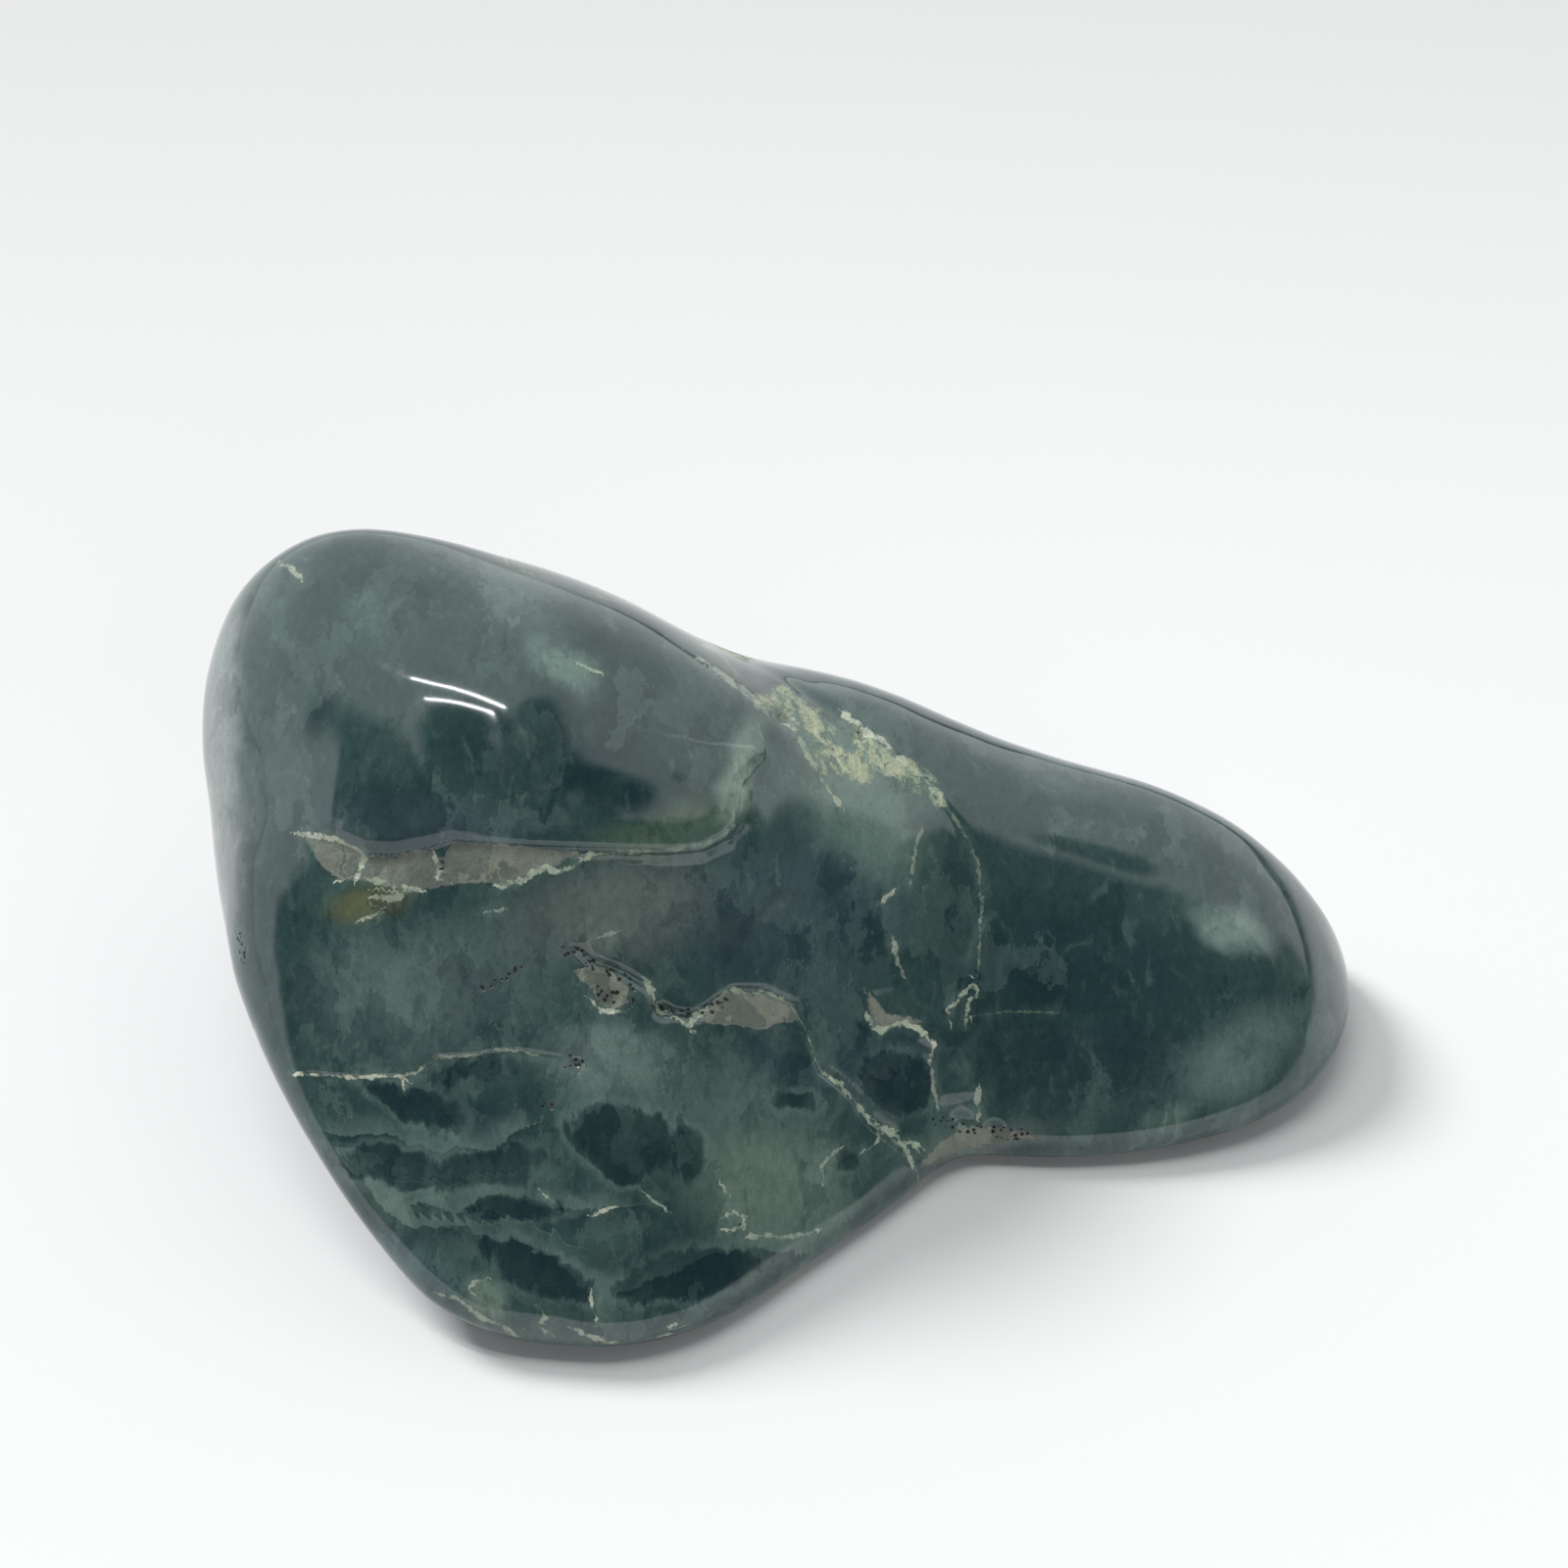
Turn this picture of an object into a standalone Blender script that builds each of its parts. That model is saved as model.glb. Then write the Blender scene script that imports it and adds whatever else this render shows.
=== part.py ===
# Polished jade boulder: one natural stone, tumbled smooth, with rind left in its hollows.
#
# The stone is a few rounded lobes trimmed by broad flats and melted into each other. Along the
# breaks in its skin it is then raised or sunk by a millimetre or less: a ledge under the ridge,
# a slightly sunken band across the saddle, two stepped cracks and a low step on the belly.
#
# Tables below are in millimetres; the mesh is in metres, +Z up, the stone lying on z = 0 with
# the origin under the middle of its bounding box.

import math

import bmesh
import bpy
import numpy as np
from mathutils import Matrix

MM = 0.001
NODE_NAME = "jade_boulder"

# Rounded lobes. half = half lengths along the lobe's own axes; turn = yaw, pitch, roll in
# degrees; fullness 2 is an ellipsoid, and more than 2 swells it towards a box.
# melt = how far a lobe blends into those listed before it in its group.
HIGH_LOBES = {
    "ridge": dict(centre=(-34.5, 24, 34.5), half=(33.5, 28, 29.5), turn=(-21, 4, 0),
                  fullness=2.2, melt=0),
    "crown": dict(centre=(-50, 33, 40), half=(19.5, 21, 25), turn=(0, 0, 0),
                  fullness=2.0, melt=8),
    "nose": dict(centre=(-15, 14, 42.5), half=(16, 16, 13), turn=(-20, 6, 0),
                 fullness=2.1, melt=6),
}
FRONT_LOBES = {
    "belly": dict(centre=(-22, 6, 13), half=(48, 44, 38.5), turn=(-4, 3, 0),
                  fullness=2.4, melt=0),
}
RIGHT_LOBES = {
    "shoulder": dict(centre=(-2, 24, 14.3), half=(39, 30, 32), turn=(-6, 9, 0),
                     fullness=2.1, melt=0),
    "arm": dict(centre=(35, 23, -8), half=(39.5, 33, 41.5), turn=(-6, 2, 0),
                fullness=2.0, melt=12),
}

# Broad flats that trim each group: a point on the flat, the way it faces, and how softly it
# meets the rounded part.
HIGH_FLATS = {
    "top": dict(point=(-19.7, 34.8, 61.5), faces=(0.39, 0.59, 0.705), soft=12),
    "rear": dict(point=(-40, 54, 34), faces=(-0.12, 0.95, 0.28), soft=10),
    "under_nose": dict(point=(-12, -3, 43.5), faces=(0.36, -0.62, 0.70), soft=6),
}
FRONT_FLATS = {
    "brow": dict(point=(-24, -3.5, 47.5), faces=(0.04, -0.69, 0.72), soft=6),
    "blue": dict(point=(8, -1, 38.5), faces=(0.34, -0.64, 0.69), soft=6),
    "chest": dict(point=(-18, -39, 4), faces=(-0.10, -0.79, 0.60), soft=8),
    "left_chest": dict(point=(-55, -21, 23), faces=(-0.28, -0.70, 0.66), soft=8),
    "hip": dict(point=(6, -19.5, 4), faces=(0.59, -0.64, 0.49), soft=7),
    "left_wall": dict(point=(-69, 10, 28), faces=(-0.93, -0.36, -0.05), soft=8),
    "undercut": dict(point=(-40, -31, 4), faces=(-0.70, -0.14, -0.70), soft=7),
}
RIGHT_FLATS = {
    "arm_front": dict(point=(36, -6, 7), faces=(0.04, -0.79, 0.61), soft=8),
    "lee": dict(point=(16, 46, 30), faces=(0.30, 0.92, 0.24), soft=9),
}
FRONT_TO_RIGHT_MELT = 4.0
HIGH_TO_LOW_MELT = 8.0

# The underside is a shallow dome that stands on a flat: the dome's middle, how fast it rises
# away from there along x and y, how far its lowest point is worn off, and its soft edge.
DOME_MIDDLE = (-10, 6)
DOME_RISE = (0.00045, 0.0009)
WORN_OFF = 0.4
DOME_SOFT = 6.0

# The breaks in the skin are drawn on a flat sheet, u to the right and v up, that stands
# SHEET_GAP in front of SIGHT_POINT and leans back by SIGHT_TILT. Straight lines from the
# sight point carry them on to the stone.
SIGHT_POINT = (0, -218, 239)
SIGHT_TILT = 40.0         # degrees below level
SHEET_GAP = 266.7

LEDGE = [(-49.5, -5.1), (-46.3, -5.5), (-42.9, -7.2), (-39.8, -7.3), (-36.2, -6.5),
         (-33.9, -5.8), (-26, -6.3), (-18, -6.5), (-11.9, -6.7), (-8.3, -6.4), (-6, -5.2),
         (-4.9, -3.6), (-4.4, 0), (-1.6, 3.3), (-3, 6.4)]
MAIN_CRACK = [(-23.4, -17), (-21.2, -17), (-19.7, -18.2), (-16.4, -19.4), (-13.6, -20.9),
              (-12.5, -23.3), (-8.6, -23.8), (-4.6, -21.2), (-1.6, -21.3), (1.3, -22.7),
              (2.9, -25.5), (4.1, -29.2), (5.7, -30.4), (7.7, -32.3), (8.8, -34.2),
              (10.2, -35.5), (12.2, -37), (13.6, -39.3)]
SIDE_CRACK = [(8.5, -20.8), (9.4, -24.7), (10.5, -25.2), (11.9, -24.3), (13.6, -24.4),
              (13.9, -26.1), (15, -26.9), (15.3, -30.3), (15.8, -33.1)]
LOW_STEP = [(-49.7, -29.6), (-44, -30), (-39, -29.9), (-35.3, -27.9), (-31.1, -27.7),
            (-27.2, -27.2), (-21.2, -28.1)]
SADDLE_EDGE = [(-9.5, 16), (-4.4, 13.2), (0, 11), (6, 7), (10.5, 3.9), (14.4, 0.5),
               (17.5, -3.7), (19.8, -8.2), (20.3, -10.5), (20.2, -15), (19.8, -20)]

# Steps. lift = height on the left hand of the path (looking from its first point to its
# last), negative to sink it; fade = how far back from the edge the change dies away.
STEPS = [
    dict(path=LEDGE, lift=0.9, blur=1.4, fade=9),
    dict(path=MAIN_CRACK, lift=-0.9, blur=1.2, fade=9),
    dict(path=SIDE_CRACK, lift=0.4, blur=1.2, fade=5),
    dict(path=LOW_STEP, lift=0.25, blur=1.2, fade=8),
    dict(path=SADDLE_EDGE, lift=0.35, blur=1.3, fade=6),
]
# Grooves run along the foot of a step.
GROOVES = [
    dict(path=LEDGE, depth=0.9, half_width=2.2),
    dict(path=MAIN_CRACK, depth=0.7, half_width=1.6),
]
# Pits: u, v, half width and depth.
PITS = [(-17.8, -21.8, 1.4, 1.0), (-12.2, -23.2, 1.1, 0.8), (0.1, 7.0, 1.3, 0.9),
        (-35.2, -8.4, 1.0, 0.9), (-21.0, -28.4, 0.9, 0.6), (8.0, 5.0, 1.1, 0.7),
        (18.4, -34.5, 1.3, 0.9), (21.5, -35.4, 1.2, 0.8)]

FACING_FADE = (0.05, 0.35)   # cosines between which a break dies away as the stone turns
END_SHARE = 0.08             # share of a path over which its two ends run out

# Cage: a cube of CAGE_CUTS x CAGE_CUTS faces a side, blown out on to the stone.
CAGE_CUTS = 28
CROWDING = 0.30           # pulls the faces towards the broken front
SPINE_ENDS = ((-32, 10, 26), (34, 20, 14))
SEARCH_REACH = 90.0
SEARCH_STEPS = 34
EVEN_ROUNDS = 6           # how often the corners are evened out over the stone
EVEN_SHARE = 0.5          # how far each goes towards the middle of its neighbours
SLOPE_STEP = 0.2          # half the stretch over which a slope is measured

STONE_COLOUR = (0.055, 0.098, 0.095, 1.0)
STONE_ROUGHNESS = 0.16


def turn_matrix(yaw, pitch, roll):
    turns = (Matrix.Rotation(math.radians(yaw), 3, "Z")
             @ Matrix.Rotation(math.radians(pitch), 3, "Y")
             @ Matrix.Rotation(math.radians(roll), 3, "X"))
    return np.array(turns)


def melt(a, b, reach):
    """Union of two distance fields, rounded over where they are within reach."""
    overlap = np.maximum(reach - np.abs(a - b), 0) / reach
    return np.minimum(a, b) - overlap ** 2 * reach / 4


def trim(a, b, reach):
    """What is inside both fields, with the meeting edge rounded."""
    return -melt(-a, -b, reach)


def lobe_distance(points, lobe):
    half = np.array(lobe["half"])
    power = lobe["fullness"]
    local = (points - np.array(lobe["centre"])) @ turn_matrix(*lobe["turn"])
    local = np.abs(local) / half
    size = (local ** power).sum(axis=-1) ** (1 / power)
    slope = np.linalg.norm(local ** (power - 1) / half, axis=-1)
    slope = slope / np.maximum(size, 1e-6) ** (power - 1)
    return (size - 1) / np.maximum(slope, 1e-9)


def lobe_group(points, lobes):
    field = None
    for lobe in lobes.values():
        distance = lobe_distance(points, lobe)
        field = distance if field is None else melt(field, distance, lobe["melt"])
    return field


def flat_distance(points, flat):
    faces = np.array(flat["faces"])
    return (points - np.array(flat["point"])) @ (faces / np.linalg.norm(faces))


def trimmed_group(points, lobes, flats):
    field = lobe_group(points, lobes)
    for flat in flats.values():
        field = trim(field, flat_distance(points, flat), flat["soft"])
    return field


def dome_distance(points):
    """Height of the worn dome under the stone above each point, negative inside the stone."""
    away = (points[..., :2] - np.array(DOME_MIDDLE)) ** 2
    dome = away @ np.array(DOME_RISE) - WORN_OFF
    return dome - points[..., 2]


def stone_distance(points):
    """Signed distance to the smooth stone, negative inside."""
    front = trimmed_group(points, FRONT_LOBES, FRONT_FLATS)
    right = trimmed_group(points, RIGHT_LOBES, RIGHT_FLATS)
    high = trimmed_group(points, HIGH_LOBES, HIGH_FLATS)
    low = melt(front, right, FRONT_TO_RIGHT_MELT)
    stone = melt(low, high, HIGH_TO_LOW_MELT)
    return trim(stone, dome_distance(points), DOME_SOFT)


def surface_normals(points):
    slopes = []
    for axis in np.eye(3) * SLOPE_STEP:
        slopes.append(stone_distance(points + axis) - stone_distance(points - axis))
    normals = np.stack(slopes, axis=-1)
    return normals / np.linalg.norm(normals, axis=-1, keepdims=True)


def on_surface(points, rounds=3):
    """Slides points along the slope of the field until they lie on the stone."""
    for _ in range(rounds):
        points = points - surface_normals(points) * stone_distance(points)[:, None]
    return points


def sheet_position(points):
    """Where the line from the sight point to each point crosses the drawing sheet."""
    tilt = math.radians(SIGHT_TILT)
    forward = np.array((0, math.cos(tilt), -math.sin(tilt)))
    up = np.array((0, math.sin(tilt), math.cos(tilt)))
    sight = points - np.array(SIGHT_POINT)
    depth = sight @ forward
    return SHEET_GAP * sight[:, 0] / depth, SHEET_GAP * (sight @ up) / depth


def facing(points, normals):
    """1 where the stone faces the sheet, dying to 0 as it turns away."""
    sight = np.array(SIGHT_POINT) - points
    sight = sight / np.linalg.norm(sight, axis=1, keepdims=True)
    return ease((sight * normals).sum(axis=1), *FACING_FADE)


def ease(value, low, high):
    t = np.clip((value - low) / (high - low), 0, 1)
    return t * t * (3 - 2 * t)


def path_distance(u, v, path):
    """Distance to a path, positive on its left hand, and the share of the path passed."""
    best = np.full(u.shape, 1e9)
    side = np.ones(u.shape)
    passed = np.zeros(u.shape)
    corners = np.array(path, dtype=float)
    runs = np.linalg.norm(np.diff(corners, axis=0), axis=1)
    total = runs.sum()
    walked = 0.0
    for start, end, run in zip(corners[:-1], corners[1:], runs):
        along = (end - start) / run
        du, dv = u - start[0], v - start[1]
        t = du * along[0] + dv * along[1]
        held = np.clip(t, 0, run)
        distance = np.hypot(du - held * along[0], dv - held * along[1])
        nearer = distance < best
        best = np.where(nearer, distance, best)
        left = along[0] * dv - along[1] * du
        side = np.where(nearer, np.where(left >= 0, 1.0, -1.0), side)
        passed = np.where(nearer, (walked + held) / total, passed)
        walked += run
    return best * side, passed


def end_taper(passed):
    return ease(passed, 0, END_SHARE) * ease(1 - passed, 0, END_SHARE)


def broken_skin(points, normals):
    """Height in millimetres to move each point along its normal."""
    u, v = sheet_position(points)
    height = np.zeros(len(points))
    for step in STEPS:
        gap, passed = path_distance(u, v, step["path"])
        rise = ease(gap, -step["blur"], step["blur"]) * np.exp(-np.maximum(gap, 0) / step["fade"])
        height += step["lift"] * rise * end_taper(passed)
    for groove in GROOVES:
        gap, passed = path_distance(u, v, groove["path"])
        height -= groove["depth"] * np.exp(-(gap / groove["half_width"]) ** 2) * end_taper(passed)
    for pit_u, pit_v, half_width, depth in PITS:
        away = np.hypot(u - pit_u, v - pit_v) / half_width
        height -= depth * np.exp(-away ** 2)
    return height * facing(points, normals)


def blow_out(directions):
    """Where rays from the spine, one for each direction, leave the stone."""
    left_end, right_end = (np.array(end, dtype=float) for end in SPINE_ENDS)
    share = (directions[:, :1] + 1) / 2
    starts = left_end + (right_end - left_end) * share
    inner = np.zeros(len(directions))
    outer = np.full(len(directions), SEARCH_REACH)
    for _ in range(SEARCH_STEPS):
        middle = (inner + outer) / 2
        inside = stone_distance(starts + directions * middle[:, None]) < 0
        inner = np.where(inside, middle, inner)
        outer = np.where(inside, outer, middle)
    return starts + directions * inner[:, None]


def stone_cage():
    """A cube cut into a grid, its corners pushed out to a ball crowded towards the front."""
    cage = bmesh.new()
    bmesh.ops.create_cube(cage, size=2.0)
    bmesh.ops.subdivide_edges(cage, edges=cage.edges[:], cuts=CAGE_CUTS - 1, use_grid_fill=True)
    corners = np.array([corner.co for corner in cage.verts])
    ball = np.tan(corners * math.pi / 4)
    ball = ball / np.linalg.norm(ball, axis=1, keepdims=True)
    tilt = math.radians(SIGHT_TILT)
    ball = ball + CROWDING * np.array((0, -math.cos(tilt), math.sin(tilt)))
    return cage, ball / np.linalg.norm(ball, axis=1, keepdims=True)


def even_out(cage, points):
    """Draws each corner towards the middle of its neighbours, then back on to the stone."""
    ends = np.array([[corner.index for corner in edge.verts] for edge in cage.edges])
    count = np.bincount(ends.ravel(), minlength=len(points))[:, None]
    for _ in range(EVEN_ROUNDS):
        total = np.zeros_like(points)
        np.add.at(total, ends[:, 0], points[ends[:, 1]])
        np.add.at(total, ends[:, 1], points[ends[:, 0]])
        points = on_surface(points + (total / count - points) * EVEN_SHARE, rounds=1)
    return on_surface(points)


def build_stone(collection):
    cage, directions = stone_cage()
    cage.verts.index_update()
    points = even_out(cage, blow_out(directions))
    normals = surface_normals(points)
    points = points + normals * broken_skin(points, normals)[:, None]
    points[:, 2] = np.maximum(points[:, 2], 0)     # the flats it lies on
    points -= (points.min(axis=0) + points.max(axis=0)) / 2 * np.array((1, 1, 0))
    for corner, place in zip(cage.verts, points * MM):
        corner.co = place
    bmesh.ops.triangulate(cage, faces=cage.faces[:])
    bmesh.ops.recalc_face_normals(cage, faces=cage.faces[:])
    mesh = bpy.data.meshes.new(NODE_NAME)
    cage.to_mesh(mesh)
    cage.free()
    mesh.shade_smooth()
    stone = bpy.data.objects.new(NODE_NAME, mesh)
    collection.objects.link(stone)
    return stone


def jade_material():
    material = bpy.data.materials.new("polished_jade")
    material.use_nodes = True
    shader = material.node_tree.nodes["Principled BSDF"]
    shader.inputs["Base Color"].default_value = STONE_COLOUR
    shader.inputs["Roughness"].default_value = STONE_ROUGHNESS
    shader.inputs["Metallic"].default_value = 0.0
    return material


def main():
    for old in list(bpy.data.objects):
        bpy.data.objects.remove(old, do_unlink=True)
    collection = bpy.data.collections.new("jade_boulder_model")
    bpy.context.scene.collection.children.link(collection)
    stone = build_stone(collection)
    stone.data.materials.append(jade_material())


main()
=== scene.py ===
import math

import bmesh
import bpy
import numpy as np
from mathutils import Matrix, Vector, noise


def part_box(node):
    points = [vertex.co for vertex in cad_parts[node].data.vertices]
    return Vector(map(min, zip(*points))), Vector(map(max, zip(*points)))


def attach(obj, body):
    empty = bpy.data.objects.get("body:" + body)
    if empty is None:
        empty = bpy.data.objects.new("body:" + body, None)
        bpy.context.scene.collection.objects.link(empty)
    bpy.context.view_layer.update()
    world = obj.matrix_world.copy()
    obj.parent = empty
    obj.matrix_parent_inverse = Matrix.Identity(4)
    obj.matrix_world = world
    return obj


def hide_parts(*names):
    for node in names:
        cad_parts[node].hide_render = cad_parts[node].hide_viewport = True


# A tumbled and polished jade boulder on pale paper. Lengths in the tables are millimetres.

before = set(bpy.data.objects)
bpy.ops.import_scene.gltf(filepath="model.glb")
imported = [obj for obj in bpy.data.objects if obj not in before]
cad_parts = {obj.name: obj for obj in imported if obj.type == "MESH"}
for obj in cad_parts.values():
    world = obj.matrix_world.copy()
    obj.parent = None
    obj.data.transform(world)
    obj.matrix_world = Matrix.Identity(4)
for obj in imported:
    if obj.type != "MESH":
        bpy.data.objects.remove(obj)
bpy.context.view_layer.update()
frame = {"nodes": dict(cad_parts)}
print("frame loaded:", ", ".join(frame["nodes"]))

mm = 0.001
tiny = 1e-6     # keeps the sums at the middle of a lobe finite


# the stone's own shape: lobes melted together and trimmed by flats, the same as its solid.
# turn is in degrees about z, y and x, full squares a lobe up, melt runs it into those before it;
# a flat passes through its point, faces outwards, and its edge is soft over so much
boulder = {
    "high": {
        "ridge": dict(centre=(-34.5, 24, 34.5), half=(33.5, 28, 29.5), turn=(-21, 4, 0),
                      full=2.2, melt=0),
        "crown": dict(centre=(-50, 33, 40), half=(19.5, 21, 25), turn=(0, 0, 0),
                      full=2.0, melt=8),
        "nose": dict(centre=(-15, 14, 42.5), half=(16, 16, 13), turn=(-20, 6, 0),
                     full=2.1, melt=6),
    },
    "highFlats": {
        "top": dict(point=(-19.7, 34.8, 61.5), faces=(0.39, 0.59, 0.705), soft=12),
        "rear": dict(point=(-40, 54, 34), faces=(-0.12, 0.95, 0.28), soft=10),
        "underNose": dict(point=(-12, -3, 43.5), faces=(0.36, -0.62, 0.70), soft=6),
    },
    "front": {
        "belly": dict(centre=(-22, 6, 13), half=(48, 44, 38.5), turn=(-4, 3, 0),
                      full=2.4, melt=0),
    },
    "frontFlats": {
        "brow": dict(point=(-24, -3.5, 47.5), faces=(0.04, -0.69, 0.72), soft=6),
        "blue": dict(point=(8, -1, 38.5), faces=(0.34, -0.64, 0.69), soft=6),
        "chest": dict(point=(-18, -39, 4), faces=(-0.10, -0.79, 0.60), soft=8),
        "leftChest": dict(point=(-55, -21, 23), faces=(-0.28, -0.70, 0.66), soft=8),
        "hip": dict(point=(6, -19.5, 4), faces=(0.59, -0.64, 0.49), soft=7),
        "leftWall": dict(point=(-69, 10, 28), faces=(-0.93, -0.36, -0.05), soft=8),
        "undercut": dict(point=(-40, -31, 4), faces=(-0.70, -0.14, -0.70), soft=7),
    },
    "right": {
        "shoulder": dict(centre=(-2, 24, 14.3), half=(39, 30, 32), turn=(-6, 9, 0),
                         full=2.1, melt=0),
        "arm": dict(centre=(35, 23, -8), half=(39.5, 33, 41.5), turn=(-6, 2, 0),
                    full=2.0, melt=12),
    },
    "rightFlats": {
        "armFront": dict(point=(36, -6, 7), faces=(0.04, -0.79, 0.61), soft=8),
        "lee": dict(point=(16, 46, 30), faces=(0.30, 0.92, 0.24), soft=9),
    },
    "frontToRight": 4.0,                # how far the front runs into the right
    "highToLow": 8.0,                   # and the ridge into both
    "domeMiddle": (-10, 6),             # the underside is a shallow dome worn off to a flat
    "domeRise": (0.00045, 0.0009),
    "wornOff": 0.4,
    "domeSoft": 6.0,
    "probe": 0.2,                       # step by which the slope of the form is felt
    "spine": ((-32, 10, 26), (34, 20, 14)),     # the cage is blown out from this line
    "longest": 90.0,                    # no skin lies further from it
    "halvings": 20,
    "cuts": 128,                        # grid faces along each side of the cage
    "crowding": 0.45,                   # pulls the faces towards the broken front
    "evenRounds": 6,
    "ripple": 0.10,                     # height of the slow unevenness left by tumbling
    "rippleSize": 13.0,
    "rippleNoise": (1.0, 2.0, 2),       # falloff, step and number of its octaves
}

# breaks and colours are drawn in u and v, to the right and up, on a flat sheet that stands
# a gap in front of the sight point and leans back by its tilt
sheet = {
    "sight": (0, -218, 239),
    "tilt": 40.0,
    "gap": 266.7,
    "facing": (0.05, 0.35),     # how squarely the skin faces the sight point: marks none and full
    "hidden": 12.0,             # marks are moved this far off where the skin faces away
    "farOff": 99.0,             # further from any mark than this is all the same
}


def turnMatrix(yaw, pitch, roll):
    turns = (Matrix.Rotation(math.radians(yaw), 3, "Z")
             @ Matrix.Rotation(math.radians(pitch), 3, "Y")
             @ Matrix.Rotation(math.radians(roll), 3, "X"))
    return np.array(turns)


def ease(value, low, high):
    t = np.clip((value - low) / (high - low), 0, 1)
    return t * t * (3 - 2 * t)


def melt(a, b, reach):
    overlap = np.maximum(reach - np.abs(a - b), 0) / reach
    return np.minimum(a, b) - overlap ** 2 * reach / 4


def lobeDistance(points, lobe):
    half = np.array(lobe["half"])
    power = lobe["full"]
    local = np.abs((points - np.array(lobe["centre"])) @ turnMatrix(*lobe["turn"])) / half
    size = (local ** power).sum(axis=-1) ** (1 / power)
    slope = np.linalg.norm(local ** (power - 1) / half, axis=-1)
    slope = slope / np.maximum(size, tiny) ** (power - 1)
    return (size - 1) / np.maximum(slope, tiny)


def meltLobes(points, lobes):
    field = None
    for lobe in lobes.values():
        distance = lobeDistance(points, lobe)
        field = distance if field is None else melt(field, distance, lobe["melt"])
    return field


def trim(a, b, reach):
    return -melt(-a, -b, reach)


def trimmedLobes(points, group):
    field = meltLobes(points, boulder[group])
    for flat in boulder[group + "Flats"].values():
        faces = np.array(flat["faces"])
        plane = (points - np.array(flat["point"])) @ (faces / np.linalg.norm(faces))
        field = trim(field, plane, flat["soft"])
    return field


def stoneField(points):
    front, right, high = (trimmedLobes(points, group) for group in ("front", "right", "high"))
    stone = melt(melt(front, right, boulder["frontToRight"]), high, boulder["highToLow"])
    away = (points[..., :2] - np.array(boulder["domeMiddle"])) ** 2
    dome = away @ np.array(boulder["domeRise"]) - boulder["wornOff"] - points[..., 2]
    return trim(stone, dome, boulder["domeSoft"])


def stoneNormals(points):
    steps = np.eye(3) * boulder["probe"]
    slopes = [stoneField(points + step) - stoneField(points - step) for step in steps]
    normals = np.stack(slopes, axis=-1)
    return normals / np.linalg.norm(normals, axis=-1, keepdims=True)


def ontoStone(points, rounds):
    for _ in range(rounds):
        points = points - stoneNormals(points) * stoneField(points)[:, None]
    return points


def blowOut(directions):
    leftEnd, rightEnd = (np.array(end, dtype=float) for end in boulder["spine"])
    starts = leftEnd + (rightEnd - leftEnd) * (directions[:, :1] + 1) / 2
    inner = np.zeros(len(directions))
    outer = np.full(len(directions), boulder["longest"])
    for _ in range(boulder["halvings"]):
        middle = (inner + outer) / 2
        inside = stoneField(starts + directions * middle[:, None]) < 0
        inner = np.where(inside, middle, inner)
        outer = np.where(inside, outer, middle)
    return starts + directions * inner[:, None]


def makeCage():
    cage = bmesh.new()
    bmesh.ops.create_cube(cage, size=2.0)
    bmesh.ops.subdivide_edges(cage, edges=cage.edges[:], cuts=boulder["cuts"] - 1,
                              use_grid_fill=True)
    cage.verts.index_update()
    ball = np.tan(np.array([corner.co for corner in cage.verts]) * math.pi / 4)
    ball = ball / np.linalg.norm(ball, axis=1, keepdims=True)
    tilt = math.radians(sheet["tilt"])
    ball = ball + boulder["crowding"] * np.array((0, -math.cos(tilt), math.sin(tilt)))
    return cage, ball / np.linalg.norm(ball, axis=1, keepdims=True)


def evenOut(cage, points):
    ends = np.array([[corner.index for corner in edge.verts] for edge in cage.edges])
    count = np.bincount(ends.ravel(), minlength=len(points))[:, None]
    for _ in range(boulder["evenRounds"]):
        total = np.zeros_like(points)
        for axis in range(3):
            total[:, axis] = (np.bincount(ends[:, 0], points[ends[:, 1], axis], len(points))
                              + np.bincount(ends[:, 1], points[ends[:, 0], axis], len(points)))
        points = ontoStone((points + total / count) / 2, 1)
    return ontoStone(points, 2)


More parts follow.
